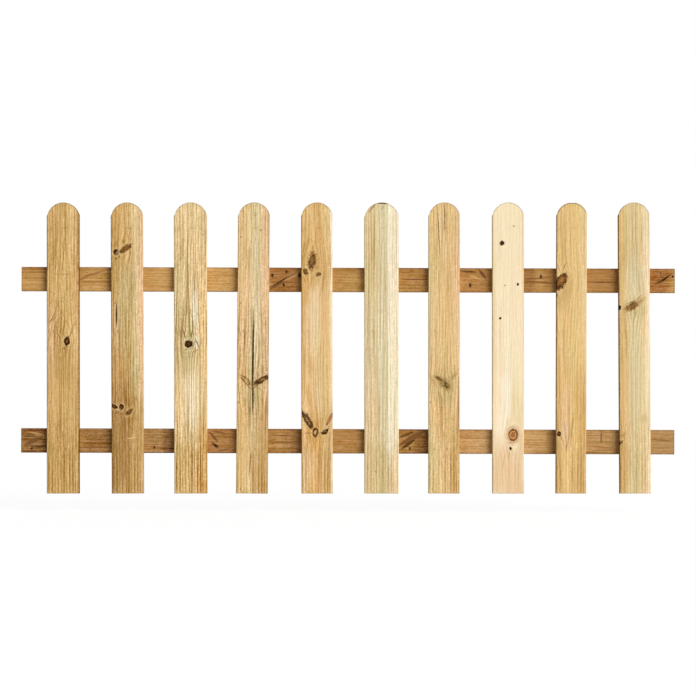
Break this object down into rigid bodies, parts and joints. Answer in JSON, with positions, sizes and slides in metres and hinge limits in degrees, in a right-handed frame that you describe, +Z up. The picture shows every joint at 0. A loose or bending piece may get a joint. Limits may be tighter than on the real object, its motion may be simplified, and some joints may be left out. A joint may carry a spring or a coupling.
{
  "type": "wooden picket fence panel",
  "caption": "Low wooden picket fence panel: round-topped upright pales spaced evenly along the front of an upper and a lower rail.",
  "frame": {"origin": "middle of the lower rail's back face, the face that bears on the posts", "axes": "+X along the panel to the right as seen from the front, +Y to the back, so the pales face -Y, +Z up"},
  "size_m": [1.8, 0.048, 0.8046],
  "materials": {
    "pale_timber": "planed pine, light treatment, satin",
    "rail_timber": "planed pine, browner, satin",
    "nail_steel": "galvanised, dull"
  },
  "bodies": {
    "root": {"lower_rail": "rail_timber", "upper_rail": "rail_timber", "pale_01": "pale_timber", "pale_02": "pale_timber", "pale_03": "pale_timber", "pale_04": "pale_timber", "pale_05": "pale_timber", "pale_06": "pale_timber", "pale_07": "pale_timber", "pale_08": "pale_timber", "pale_09": "pale_timber", "pale_10": "pale_timber"}
  },
  "joints": []
}
